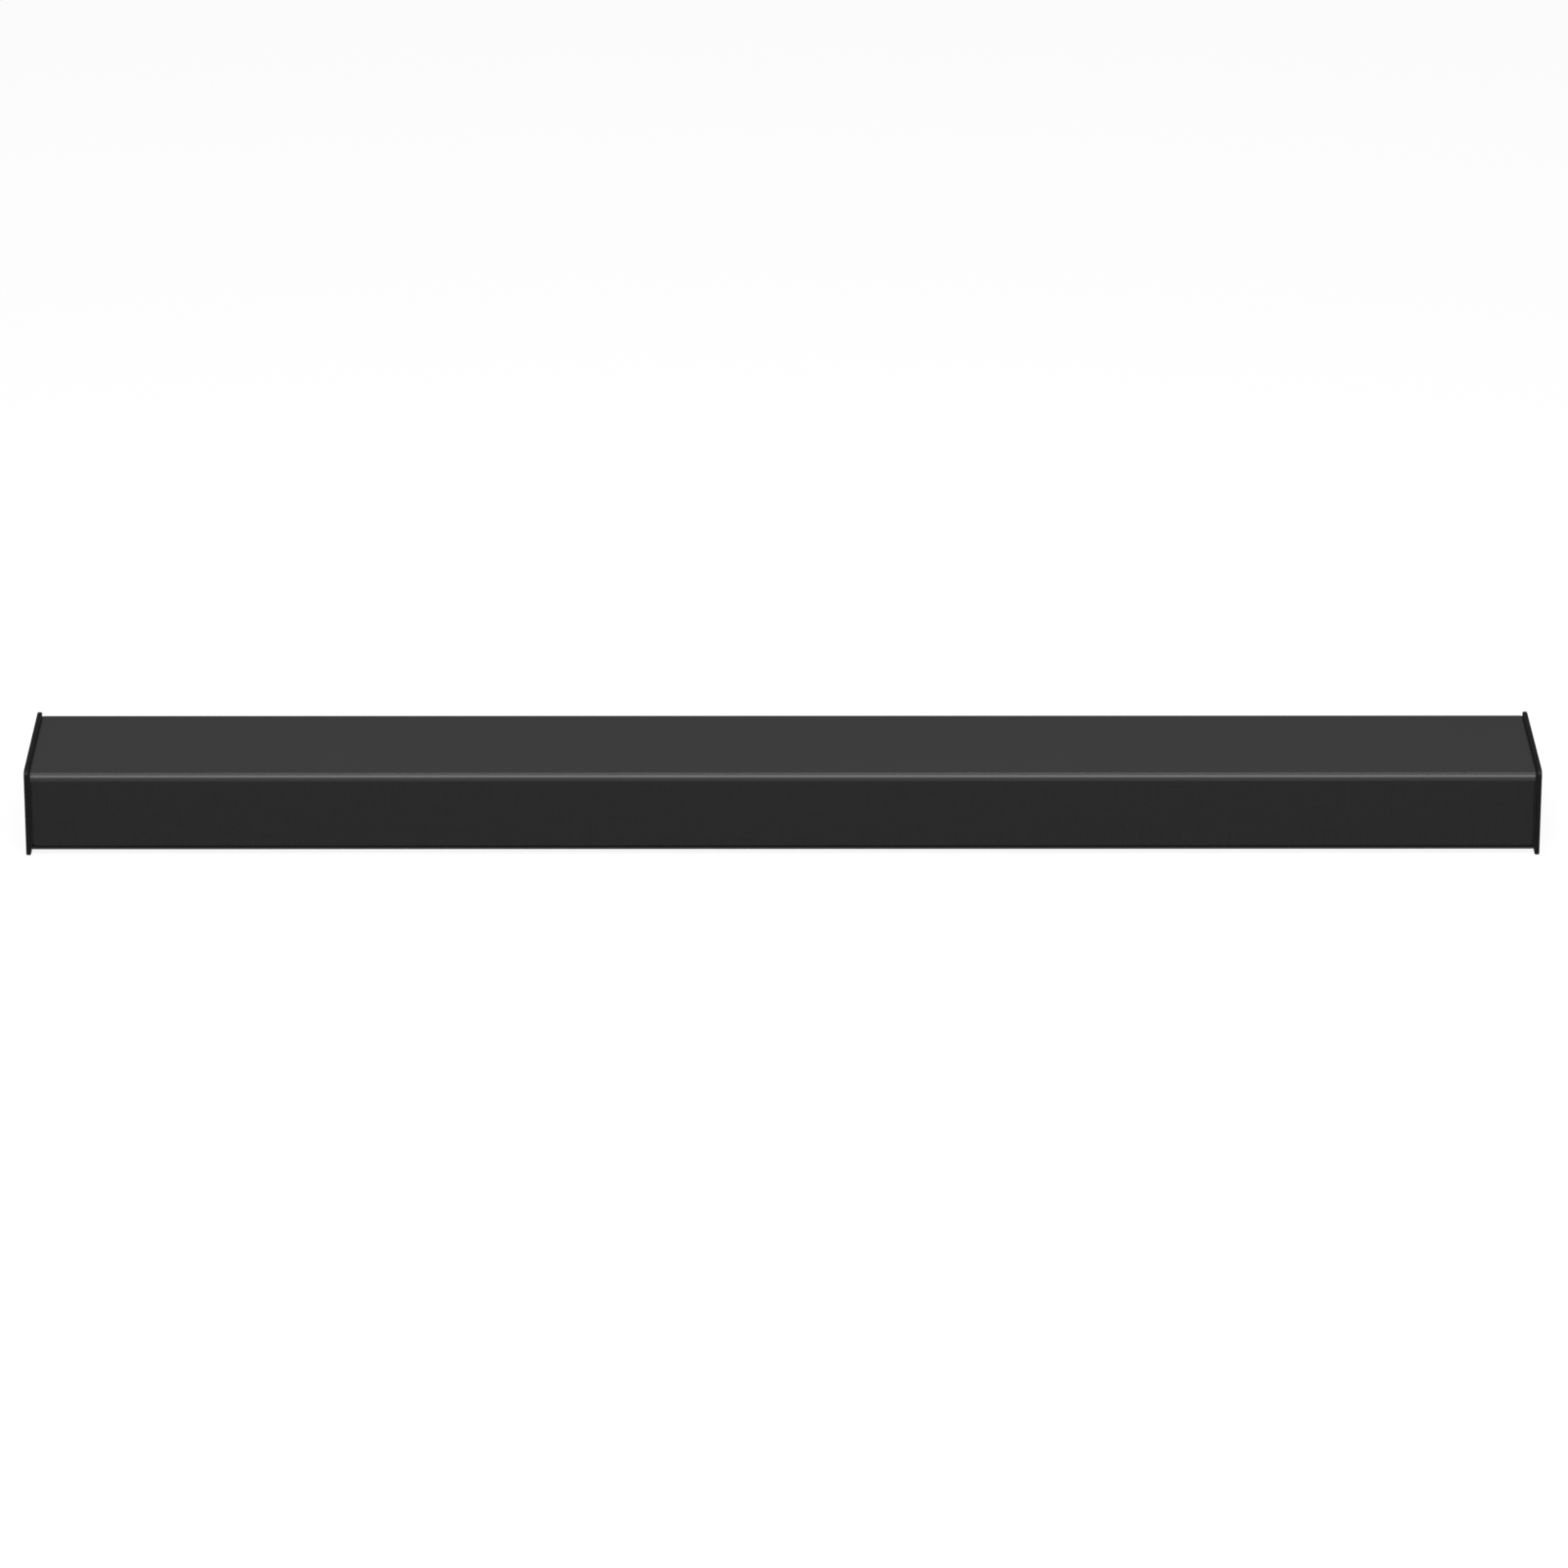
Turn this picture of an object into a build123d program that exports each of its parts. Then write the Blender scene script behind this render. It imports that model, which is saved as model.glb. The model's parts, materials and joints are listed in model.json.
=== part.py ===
"""Slim two-channel soundbar, built as an assembly.

An extruded aluminium shell makes the top, the rounded front edge and a lip at
the rear. A moulded chassis closes the bottom and a moulded panel the back. A flat
plate on a black gasket closes each end and stands a little proud of the body.
Behind the fabric grille a baffle carries four oblong woofers and two dome
tweeters.

Frame: millimetres, +X along the bar to the right as seen from the front, -Y out
of the grille, +Z up. The origin is on the surface that the feet stand on, under
the middle of the bar.
"""

from build123d import *
import os
from math import cos, pi, radians, sin, tan

# --- Driving dimensions -------------------------------------------------------
LENGTH = 960.0            # over both end plates
DEPTH = 110.0             # front edge to back edge of an end plate
PLATE_HEIGHT = 57.0
PLATE_THICK = 3.0
PLATE_PROUD = 3.0         # end plate above, below and in front of the body
GASKET = 0.8              # between an end plate and the body
STAND = 1.0               # end plates above the surface, which the feet touch
EDGE_R = 4.3              # rounded edge between the top and the front
SHELL_WALL = 1.8
CHASSIS_WALL = 2.5
FIT_GAP = 0.3             # between pieces that are pushed or laid together

# --- Body, worked out from the above ------------------------------------------
PLATE_INSIDE = LENGTH / 2 - PLATE_THICK
END = PLATE_INSIDE - GASKET
FRONT = -DEPTH / 2 + PLATE_PROUD
BACK = DEPTH / 2
BOTTOM = STAND + PLATE_PROUD
TOP = STAND + PLATE_HEIGHT - PLATE_PROUD
FLOOR = BOTTOM + CHASSIS_WALL
CEILING = TOP - SHELL_WALL
REAR_INSIDE = BACK - CHASSIS_WALL
DRIVER_Z = (FLOOR + CEILING) / 2

# --- Front of the body --------------------------------------------------------
LIP_BOTTOM = TOP - EDGE_R - 0.8     # lower edge of the shell's front lip
REAR_LIP = 8.0                      # how far the shell comes down at the rear
FABRIC = 0.8                        # cloth of the grille
GRILLE_GAP = 0.15                   # above and below the grille
GRILLE_BACK = FRONT + 4.5
BAFFLE_FRONT = -39.0
BAFFLE_THICK = 4.0
CHASSIS_LIP = 1.2                   # front edge of the floor, under the grille

# --- Woofers: oblong, so every outline is a slot with this spine ---------------
WOOFER_X = (-400.0, -240.0, 240.0, 400.0)
SPINE = 54.0
FLANGE = (102.0, 42.0, 5.0, 2.0)    # width, height, corner radius, thickness
BASKET_R = 17.5
BASKET_WALL = 1.2
CUP_R = 17.0
CUP_BACK = -17.0
SURROUND_RIM = (19.5, 11.0)         # outer and inner edge of the surround
ROLL_R = 2.5
ROLL_MID = 14.5
RUBBER = 0.5
COIL_R = 7.0
MAGNET_R = 17.5
WOOFER_SCREW = (46.5, 15.5)

# --- Tweeters -----------------------------------------------------------------
TWEETER_X = (-320.0, 320.0)
TWEETER_FLANGE = (44.0, 42.0, 5.0, 2.0)
DOME_R = 12.0
DOME_RISE = 4.5
THROAT_R = 13.6
TWEETER_SCREW = (18.0, 15.5)

# --- Grille frame -------------------------------------------------------------
PEG_X = (-466.0, -176.0, -46.0, 46.0, 176.0, 466.0)
RIB_X = (46.0, 111.0, 176.0, 240.0, 296.0, 344.0, 400.0)
PEG_R = 1.8
SOCKET_R = 4.0

# --- Fasteners ----------------------------------------------------------------
SCREW_R = 1.5                       # M3
PILOT_R = 1.7                       # hole that such a screw fills loosely
CHANNEL_R = 2.5
CHANNEL_Y = (-43.6, 5.0, 44.0)      # screw channels for the end plates
CHANNEL_DROP = 1.7                  # channel's middle under the ceiling
LAP_SCREW_X = (-440.0, -205.0, -130.0, 130.0, 205.0, 440.0)
LAP_SCREW_Z = TOP - 4.4
LOW_SCREW_X = (-440.0, -280.0, -125.0, 125.0, 280.0, 440.0)
LOW_SCREW_Z = BOTTOM + 5.5

# --- Back ---------------------------------------------------------------------
BAY = (104.0, 11.5, 39.5)           # half width, low edge and high edge
BAY_DEPTH = 24.0
BAY_WALL = 2.0
BAY_FLOOR = BACK - BAY_DEPTH + BAY_WALL
PORT_X = (-335.0, 335.0)
PORT_Z = 25.5
PORT_R = 11.0
PORT_FLARE = 14.5
PORT_LENGTH = 50.0
KEYHOLE_X = (-250.0, 250.0)
KEYHOLE_Z = 24.0
KEYHOLE_RISE = 12.0
KEYHOLE_HEAD_R = 5.0
KEYHOLE_SLOT_R = 2.5
INSERT_X = (-150.0, 150.0)
INSERT_Z = 29.0
INSERT_R = 2.1
INSERT_OUTER_R = 3.5

# --- Electronics --------------------------------------------------------------
BOARD_Z = 17.0
BOARD_THICK = 1.6
BOARD_TOP = BOARD_Z + BOARD_THICK
MAIN_BOARD = (-52.0, 100.0, -30.0, 30.6)     # x from, x to, y from, y to
POWER_BOARD = (-176.0, -76.0, -28.0, 14.0)
LEAD_R = 1.6
INLET_X = -86.0
ROCKER_X = -64.0
INLET_Z = 25.5
HDMI_X = -36.0
OPTICAL_X = -12.0
USB_X = 12.0
AUX_X = 36.0
BUTTON_X = (60.0, 80.0)
BUTTON_Z = 25.0
ROCKER_Y = 29.0
ROCKER_TILT = 7.0
SHUTTER_Y = 33.2
SHUTTER_Z = BOARD_TOP + 10.2

# --- Feet ---------------------------------------------------------------------
FOOT_X = (-430.0, 430.0)
FOOT_Y = (-31.0, 40.0)
FOOT_R = 9.0


# --- Shapes that are used again -----------------------------------------------
def block(x0, x1, y0, y1, z0, z1):
    """Box between two corners."""
    middle = Pos((x0 + x1) / 2, (y0 + y1) / 2, (z0 + z1) / 2)
    return middle * Box(x1 - x0, y1 - y0, z1 - z0)


def rod_x(y, z, radius, x0, x1):
    return Pos((x0 + x1) / 2, y, z) * Rot(0, 90, 0) * Cylinder(radius, x1 - x0)


def rod_y(x, z, radius, y0, y1):
    return Pos(x, (y0 + y1) / 2, z) * Rot(90, 0, 0) * Cylinder(radius, y1 - y0)


def rod_z(x, y, radius, z0, z1):
    return Pos(x, y, (z0 + z1) / 2) * Cylinder(radius, z1 - z0)


def facing_front(x, y=BAFFLE_FRONT, z=DRIVER_Z):
    """Plane on which local X is +X, local Y is +Z and local Z is out of the front."""
    return Plane(origin=(x, y, z), x_dir=(1, 0, 0), z_dir=(0, -1, 0))


def slab(sketch, low, high):
    """Sketch extruded along local Z from low to high."""
    return Pos(0, 0, low) * extrude(sketch, high - low)


def slot(radius):
    """Oblong outline with the woofers' spine."""
    return SlotCenterToCenter(SPINE, 2 * radius)


def slot_ring(points):
    """Section in (distance from the spine, local Z), taken round the oblong."""
    section = Plane.YZ * make_face(Polyline(*points, close=True))
    return ring_from(section)


def ring_from(section):
    side = extrude(section, SPINE / 2, both=True)
    end = Pos(-SPINE / 2, 0, 0) * revolve(section, Axis.Z, 180)
    return side + mirror(side, Plane.XZ) + end + mirror(end, Plane.YZ)


def turned(points):
    """Section in (radius, local Z), turned about local Z."""
    section = Plane.XZ * make_face(Polyline(*points, close=True))
    return revolve(section, Axis.Z, 360)


def union(shapes):
    """Shapes fused one after another."""
    total = None
    for shape in shapes:
        total = shape if total is None else total + shape
    return total


def group(shapes):
    """Separate solids in one node."""
    return Compound(children=[solid for shape in shapes for solid in shape.solids()])


PARTS = {}


def add(name, shape):
    PARTS[name] = shape


# --- Casing -------------------------------------------------------------------
def channel_places():
    """(y, z) of each screw channel: the shell's, then the chassis's."""
    upper = [(y, CEILING - CHANNEL_DROP) for y in CHANNEL_Y]
    lower = [(y, FLOOR + CHANNEL_DROP) for y in CHANNEL_Y]
    return upper, lower


def top_shell():
    upper, _ = channel_places()
    outer = block(-END, END, FRONT, 0, LIP_BOTTOM, TOP)
    outer += block(-END, END, 0, BACK, TOP - REAR_LIP, TOP)
    front_edge = outer.edges().filter_by(Axis.X).filter_by(
        lambda e: e.center().Y < 0 and e.center().Z > TOP - 0.1
    )
    outer = fillet(front_edge, EDGE_R)
    rear_edge = outer.edges().filter_by(Axis.X).filter_by(
        lambda e: e.center().Y > BACK - 0.1 and e.center().Z > TOP - 0.1
    )
    outer = fillet(rear_edge, 1.0)
    inner_front = FRONT + SHELL_WALL
    hollow = block(-END, END, inner_front, BACK - SHELL_WALL, BOTTOM, CEILING)
    inner_edge = hollow.edges().filter_by(Axis.X).filter_by(
        lambda e: e.center().Y < 0 and e.center().Z > CEILING - 0.1
    )
    hollow = fillet(inner_edge, EDGE_R - SHELL_WALL)
    shell = outer - hollow
    for y, z in upper:
        shell += rod_x(y, z, CHANNEL_R, -END, END)
        shell += block(-END, END, y - CHANNEL_R, y + CHANNEL_R, z, CEILING)
    for y, z in upper:
        shell -= rod_x(y, z, PILOT_R, -END, END)
    for x in LAP_SCREW_X:
        shell -= countersink(x, LAP_SCREW_Z)
    return shell


def countersink(x, z):
    """Hole for a countersunk screw that is put in from the rear."""
    cone = Pos(x, BACK - 0.75, z) * Rot(-90, 0, 0) * Cone(SCREW_R, SCREW_R + 1.5, 1.5)
    return cone + rod_y(x, z, PILOT_R, BACK - 12, BACK)


def countersunk_screw(length):
    """M3 screw with its head's face on local Z 0 and its shank towards -Z."""
    head = Pos(0, 0, -0.75) * Cone(SCREW_R, SCREW_R + 1.45, 1.45)
    shank = Pos(0, 0, -length / 2) * Cylinder(SCREW_R - 0.05, length)
    socket = extrude(RegularPolygon(1.15, 6), -1.0)
    return head + shank - socket


def pan_screw(length):
    """M3 pan-head screw standing on local Z 0 with its shank towards -Z."""
    head = Pos(0, 0, 0.9) * Cylinder(2.7, 1.8)
    head = chamfer(head.edges().group_by(Axis.Z)[-1], 0.6)
    shank = Pos(0, 0, -length / 2) * Cylinder(SCREW_R - 0.05, length)
    slots = Box(3.2, 0.7, 1.6) + Box(0.7, 3.2, 1.6)
    return head + shank - Pos(0, 0, 1.8) * slots


def bottom_chassis():
    """Moulded floor with its front lip, ribs, board posts and screw bosses."""
    chassis = block(-END, END, FRONT, REAR_INSIDE, BOTTOM, FLOOR)
    chassis -= block(-END, END, FRONT, GRILLE_BACK + 1.2, BOTTOM + CHASSIS_LIP, FLOOR)
    low_front = chassis.edges().filter_by(Axis.X).filter_by(
        lambda e: e.center().Y < FRONT + 0.1 and e.center().Z < BOTTOM + 0.1
    )
    chassis = fillet(low_front, 0.4)
    chassis += chassis_ribs() + board_posts()
    for x in LOW_SCREW_X:
        chassis += rod_y(x, LOW_SCREW_Z, 3.2, REAR_INSIDE - 8, REAR_INSIDE)
    _, lower = channel_places()
    for side in (-1, 1):
        x0, x1 = sorted((side * (END - 20), side * END))
        for y, z in lower:
            chassis += rod_x(y, z, CHANNEL_R, x0, x1)
            chassis += block(x0, x1, y - CHANNEL_R, y + CHANNEL_R, FLOOR - 0.5, z)
            chassis -= rod_x(y, z, PILOT_R, x0, x1)
    return chassis - chassis_openings()


def rear_panel():
    """Moulded back, with a tongue and bosses behind the shell's rear lip."""
    panel = block(-END, END, REAR_INSIDE, BACK, BOTTOM, TOP - REAR_LIP - 0.2)
    low_edge = panel.edges().filter_by(Axis.X).filter_by(
        lambda e: e.center().Y > BACK - 0.1 and e.center().Z < BOTTOM + 0.1
    )
    panel = fillet(low_edge, 1.5)
    tongue_y = BACK - SHELL_WALL - 0.2
    panel += block(-END, END, tongue_y - 2.3, tongue_y, TOP - REAR_LIP - 3, TOP - 3.2)
    for x in LAP_SCREW_X:
        boss = rod_y(x, LAP_SCREW_Z, 3.2, tongue_y - 6, tongue_y)
        panel += boss - block(x - 4, x + 4, 0, BACK, CEILING - 0.2, TOP)
    for x in INSERT_X:
        panel += rod_y(x, INSERT_Z, INSERT_OUTER_R + 2, BACK - 14, REAR_INSIDE)
    return panel - panel_openings()


def chassis_ribs():
    """Low ribs across the floor, and a tall divider on each side of the electronics."""
    heights = {186.0: FLOOR + 35, 290.0: FLOOR + 4, 360.0: FLOOR + 4}
    return union(
        block(side * x - 1, side * x + 1, -33, REAR_INSIDE, FLOOR - 0.5, top)
        for x, top in heights.items()
        for side in (-1, 1)
    )


def post_places():
    """(x, y) of the boards' posts: one near each corner of both boards."""
    inset = 5.0
    places = []
    for x0, x1, y0, y1 in (MAIN_BOARD, POWER_BOARD):
        places += [(x, y) for x in (x0 + inset, x1 - inset) for y in (y0 + inset, y1 - inset)]
    return places


def board_posts():
    return union(rod_z(x, y, 3.5, FLOOR - 0.5, BOARD_Z) for x, y in post_places())


def vent_slots():
    """Two fields of slots under the boards."""
    cutters = []
    for middle in (-125.0, 20.0):
        for step in range(-5, 6):
            x = middle + step * 7.0
            shape = SlotCenterToCenter(26, 2.6).rotate(Axis.Z, 90)
            cutters.append(Pos(x, -6, BOTTOM - 1) * extrude(shape, CHASSIS_WALL + 2))
    return union(cutters)


def keyhole_window(x):
    """Round-ended window in the rear wall, over a keyhole plate."""
    middle = KEYHOLE_Z + KEYHOLE_RISE / 2 - 1
    shape = SlotCenterToCenter(12, 14).rotate(Axis.Z, 90)
    return facing_front(x, BACK + 1, middle) * extrude(shape, CHASSIS_WALL + 2)


def chassis_openings():
    """Holes for the board screws, the feet and the low rear screws, and the vents."""
    cut = vent_slots()
    for x in LOW_SCREW_X:
        cut += rod_y(x, LOW_SCREW_Z, PILOT_R, REAR_INSIDE - 9, REAR_INSIDE + 1)
    for x, y in post_places():
        cut += rod_z(x, y, PILOT_R, FLOOR + 1, BOARD_Z + 1)
    for x in FOOT_X:
        for y in FOOT_Y:
            cut += rod_z(x, y, 2.5, BOTTOM - 1, FLOOR + 1)
    return cut


def panel_openings():
    """Holes for the bay, the ports, the wall mounts and the panel's own screws."""
    half, low, high = BAY
    cut = block(-half, half, REAR_INSIDE - 2, BACK + 1, low, high)
    for x in PORT_X:
        cut += rod_y(x, PORT_Z, PORT_FLARE + 1.5, REAR_INSIDE - 1, BACK + 1)
    for x in KEYHOLE_X:
        cut += keyhole_window(x)
        for side in (-15, 15):
            cut += rod_y(x + side, 29.0, PILOT_R, REAR_INSIDE - 1, BACK - 0.8)
    for x in INSERT_X:
        cut += rod_y(x, INSERT_Z, INSERT_OUTER_R, BACK - 13, BACK + 1)
    for x in LAP_SCREW_X:
        cut += rod_y(x, LAP_SCREW_Z, PILOT_R, BACK - 12, BACK + 1)
    for x in LOW_SCREW_X:
        cut += countersink(x, LOW_SCREW_Z)
    return cut


def end_plate(side):
    """Flat plate with its edges broken and six countersunk holes."""
    plate = block(*sorted((side * PLATE_INSIDE, side * LENGTH / 2)), -DEPTH / 2, DEPTH / 2,
                  STAND, STAND + PLATE_HEIGHT)
    corner_radii = {(-1, 1): 4.0, (-1, -1): 1.0, (1, 1): 2.0, (1, -1): 2.0}
    for (y_side, z_side), radius in corner_radii.items():
        corner = plate.edges().filter_by(Axis.X).filter_by(
            lambda e: abs(e.center().Y - y_side * DEPTH / 2) < 0.1
            and abs(e.center().Z - STAND - (1 + z_side) * PLATE_HEIGHT / 2) < 0.1
        )
        plate = fillet(corner, radius)
    outer_face = plate.faces().sort_by(Axis.X)[-1 if side > 0 else 0]
    inner_face = plate.faces().sort_by(Axis.X)[0 if side > 0 else -1]
    plate = chamfer(outer_face.edges() + inner_face.edges(), 0.5)
    for y, z in sum(channel_places(), []):
        screw_hole = Pos(0, 0, -0.75) * Cone(SCREW_R, SCREW_R + 1.5, 1.5)
        screw_hole += Cylinder(PILOT_R, 12)
        plate -= end_place(side, y, z) * screw_hole
    return plate


def end_place(side, y, z):
    """Plane on an end plate's outer face, local Z pointing outward."""
    return Plane(origin=(side * LENGTH / 2, y, z), x_dir=(0, 1, 0), z_dir=(side, 0, 0))


def end_gaskets():
    """Flat rubber frames under the end plates, set back a little from the body's sides."""
    inset, width = 0.4, 6.5
    gaskets = []
    for side in (-1, 1):
        x0, x1 = sorted((side * END, side * PLATE_INSIDE))
        ring = block(x0, x1, FRONT + inset, BACK - inset, BOTTOM + inset, TOP - inset)
        ring -= block(x0, x1, FRONT + width, BACK - width, BOTTOM + width, TOP - width)
        for y, z in sum(channel_places(), []):
            ring -= rod_x(y, z, PILOT_R, x0, x1)
        gaskets.append(ring)
    return group(gaskets)


def countersunk_screws():
    """Screws of the end plates, then those along the top and bottom of the back."""
    places = [end_place(side, y, z) for side in (-1, 1) for y, z in sum(channel_places(), [])]
    rear = [(x, LAP_SCREW_Z) for x in LAP_SCREW_X] + [(x, LOW_SCREW_Z) for x in LOW_SCREW_X]
    places += [Plane(origin=(x, BACK, z), x_dir=(1, 0, 0), z_dir=(0, 1, 0)) for x, z in rear]
    return group(place * countersunk_screw(8) for place in places)


def rubber_feet():
    """Feet with a waisted stem that is pulled through the floor."""
    feet = []
    for x in FOOT_X:
        for y in FOOT_Y:
            pad = rod_z(x, y, FOOT_R, 0, BOTTOM)
            pad = chamfer(pad.edges().group_by(Axis.Z)[0], 0.8)
            stem = rod_z(x, y, 2.5, BOTTOM, FLOOR)
            head = rod_z(x, y, 3.3, FLOOR, FLOOR + 1.4)
            feet.append(pad + stem + head)
    return group(feet)


# --- Grille -------------------------------------------------------------------
def grille_frame():
    front, back = FRONT + FABRIC, GRILLE_BACK - 0.5
    half = END - 0.9
    low, high = BOTTOM + CHASSIS_LIP + 0.8, LIP_BOTTOM - 0.8
    frame = block(-half, half, front, back, low, high)
    bar, end_bar, rib = 5.0, 15.0, 3.0
    edges = [-half + end_bar] + sorted([-x for x in RIB_X] + list(RIB_X)) + [half - end_bar]
    for x0, x1 in zip(edges, edges[1:]):
        left = x0 if x0 == edges[0] else x0 + rib / 2
        right = x1 if x1 == edges[-1] else x1 - rib / 2
        frame -= block(left, right, front - 1, back + 1, low + bar, high - bar)
    for x in PEG_X:
        frame += rod_y(x, DRIVER_Z - 1.5, SOCKET_R, front, back)
        frame += rod_y(x, DRIVER_Z - 1.5, PEG_R, front, BAFFLE_FRONT - 1)
    return frame


def grille_fabric():
    """Cloth skin: the front, its four turned edges and a return behind the frame."""
    half = END - 0.3
    low, high = BOTTOM + CHASSIS_LIP + GRILLE_GAP, LIP_BOTTOM - GRILLE_GAP
    skin, turn = 0.6, 4.0
    cloth = block(-half, half, FRONT, GRILLE_BACK, low, high)
    inside = block(-half + skin, half - skin, FRONT + FABRIC, GRILLE_BACK - 0.5,
                   low + skin, high - skin)
    window = block(-half + turn, half - turn, FRONT + FABRIC, GRILLE_BACK + 1,
                   low + turn, high - turn)
    cloth -= inside + window
    rim = cloth.edges().filter_by(lambda e: e.center().Y < FRONT + 0.01)
    return fillet(rim, 0.5)


def grille_sockets():
    """Rubber cups in the baffle, which grip the grille's pegs."""
    cups = []
    for x in PEG_X:
        z = DRIVER_Z - 1.5
        cup = rod_y(x, z, SOCKET_R, BAFFLE_FRONT - 6.5, BAFFLE_FRONT)
        cup += rod_y(x, z, 2.8, BAFFLE_FRONT, BAFFLE_FRONT + BAFFLE_THICK)
        cup -= rod_y(x, z, PEG_R + 0.1, BAFFLE_FRONT - 7, BAFFLE_FRONT + 1)
        cups.append(cup)
    return group(cups)


def front_baffle():
    half, low, high = END - FIT_GAP, FLOOR + 0.1, CEILING - 0.1
    baffle = block(-half, half, BAFFLE_FRONT, BAFFLE_FRONT + BAFFLE_THICK, low, high)
    through = (-BAFFLE_THICK - 1, 1)
    screw = Cylinder(PILOT_R, 4 * BAFFLE_THICK)
    for x in WOOFER_X:
        place = facing_front(x)
        baffle -= place * slab(slot(BASKET_R + BASKET_WALL + FIT_GAP), *through)
        baffle -= union(place * Pos(u, v, 0) * screw for u, v in corners(WOOFER_SCREW))
    for x in TWEETER_X:
        place = facing_front(x)
        baffle -= place * slab(Circle(THROAT_R + 1.7), *through)
        baffle -= union(place * Pos(u, v, 0) * screw for u, v in corners(TWEETER_SCREW))
    for x in PEG_X:
        baffle -= rod_y(x, DRIVER_Z - 1.5, 2.8, BAFFLE_FRONT - 1, BAFFLE_FRONT + BAFFLE_THICK)
    for x in (-26.0, 26.0):
        baffle -= facing_front(x) * screw
    return baffle


def corners(half_spacing):
    u, v = half_spacing
    return [(a * u, b * v) for a in (-1, 1) for b in (-1, 1)]


# --- Woofer, in its local frame: Z 0 on the baffle, +Z out of the front ---------
def woofer_frame():
    width, height, corner, thick = FLANGE
    outer_r = BASKET_R + BASKET_WALL
    flange = slab(RectangleRounded(width, height, corner), 0, thick)
    wall = slab(slot(outer_r), -8, 0)
    frame = flange + wall - slab(slot(BASKET_R), -8, thick)
    tray = slab(slot(outer_r), -9.5, -8) - slab(Circle(CUP_R), -9.5, -8)
    for side in (-1, 1):
        tray -= Pos(side * 32, 0, 0) * slab(RectangleRounded(16, 22, 3), -9.5, -8)
    cup = slab(Circle(CUP_R + BASKET_WALL), CUP_BACK, -8) - slab(Circle(CUP_R), CUP_BACK, -8)
    back = slab(Circle(CUP_R + BASKET_WALL), CUP_BACK, CUP_BACK + 1.5)
    back -= slab(Circle(COIL_R + 2), CUP_BACK, CUP_BACK + 1.5)
    ledge = slab(Circle(CUP_R), CUP_BACK + 1.5, CUP_BACK + 3.6)
    ledge -= slab(Circle(CUP_R - 1.2), CUP_BACK + 1.5, CUP_BACK + 3.6)
    frame = frame + tray + cup + back + ledge
    for angle in (45, 135, 225, 315):
        vent = Pos(CUP_R + 0.6, 0, -10.8) * Box(6, 9, 2.6)
        frame -= Rot(0, 0, angle) * vent
    holes = [Pos(u, v, 0) * Cylinder(PILOT_R, 10) for u, v in corners(WOOFER_SCREW)]
    return frame - union(holes)


def woofer_motor():
    """Top plate, ring magnet and yoke with its vented pole."""
    top_plate = slab(Circle(16), -20, CUP_BACK) - slab(Circle(COIL_R + 0.8), -20, CUP_BACK)
    magnet = slab(Circle(MAGNET_R), -28, -20) - slab(Circle(10), -28, -20)
    yoke = slab(Circle(16), -31, -28) + slab(Circle(COIL_R - 0.8), -28, CUP_BACK)
    yoke -= slab(Circle(2), -31, CUP_BACK)
    return group([top_plate, magnet, yoke])


def woofer_cone():
    """Dished oblong cone with its dust cap and voice coil."""
    rim_w, floor_w, skin = 2.0, -4.2, 0.8
    wall = slot_ring([
        (13.0, rim_w), (13.0, rim_w - 0.6), (12.2, rim_w - 0.6), (7.9, floor_w - skin),
        (6.0, floor_w - skin), (6.0, floor_w), (7.4, floor_w), (11.4, rim_w),
    ])
    floor_plate = slab(slot(6.0), floor_w - skin, floor_w)
    cap_r, cap_rise = 6.4, 2.4
    ball_r = (cap_r**2 + cap_rise**2) / (2 * cap_rise)
    cap = Pos(0, 0, floor_w + cap_rise - ball_r) * Sphere(ball_r)
    cap &= Pos(0, 0, floor_w + 5) * Box(20, 20, 10)
    former = slab(Circle(COIL_R), -22, floor_w - skin)
    former -= slab(Circle(COIL_R - 0.4), -22, floor_w - skin)
    winding = slab(Circle(COIL_R + 0.4), -22, -17) - slab(Circle(COIL_R), -22, -17)
    return wall + floor_plate + cap + former + winding


def woofer_surround():
    """Half roll of rubber with a flat rim on each side, stood on local Z 2."""
    base = FLANGE[3]
    outer, inner = SURROUND_RIM
    arch = Plane.YZ * (
        Pos(ROLL_MID, base) * (Circle(ROLL_R + RUBBER) - Circle(ROLL_R))
        - Pos(ROLL_MID, base - 5) * Rectangle(12, 10)
    )
    rims = Plane.YZ * (
        Pos((outer + ROLL_MID + ROLL_R) / 2, base + RUBBER / 2)
        * Rectangle(outer - ROLL_MID - ROLL_R, RUBBER)
        + Pos((inner + ROLL_MID - ROLL_R) / 2, base + RUBBER / 2)
        * Rectangle(ROLL_MID - ROLL_R - inner, RUBBER)
    )
    return ring_from((arch + rims).face())


def woofer_spider():
    """Corrugated disc between the voice coil and the basket's ledge."""
    step, thick, base = 1.45, 0.4, CUP_BACK + 3.6
    radii = [COIL_R + i * step for i in range(7)]
    wave = [(r, base + (0.9 if i % 2 else 0)) for i, r in enumerate(radii)]
    wave.append((CUP_R - 0.1, base))
    return turned(wave + [(r, w + thick) for r, w in reversed(wave)])


# --- Tweeter, in the same kind of local frame -----------------------------------
def tweeter_frame():
    width, height, corner, thick = TWEETER_FLANGE
    frame = slab(RectangleRounded(width, height, corner), 0, thick)
    frame += slab(Circle(THROAT_R + 1.4), -4, 0)
    frame -= slab(Circle(THROAT_R), -4, thick)
    mouth = turned([(0, 0.2), (THROAT_R, 0.2), (THROAT_R + 3, thick), (0, thick)])
    frame -= mouth
    holes = [Pos(u, v, 0) * Cylinder(PILOT_R, 10) for u, v in corners(TWEETER_SCREW)]
    return frame - union(holes)


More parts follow.
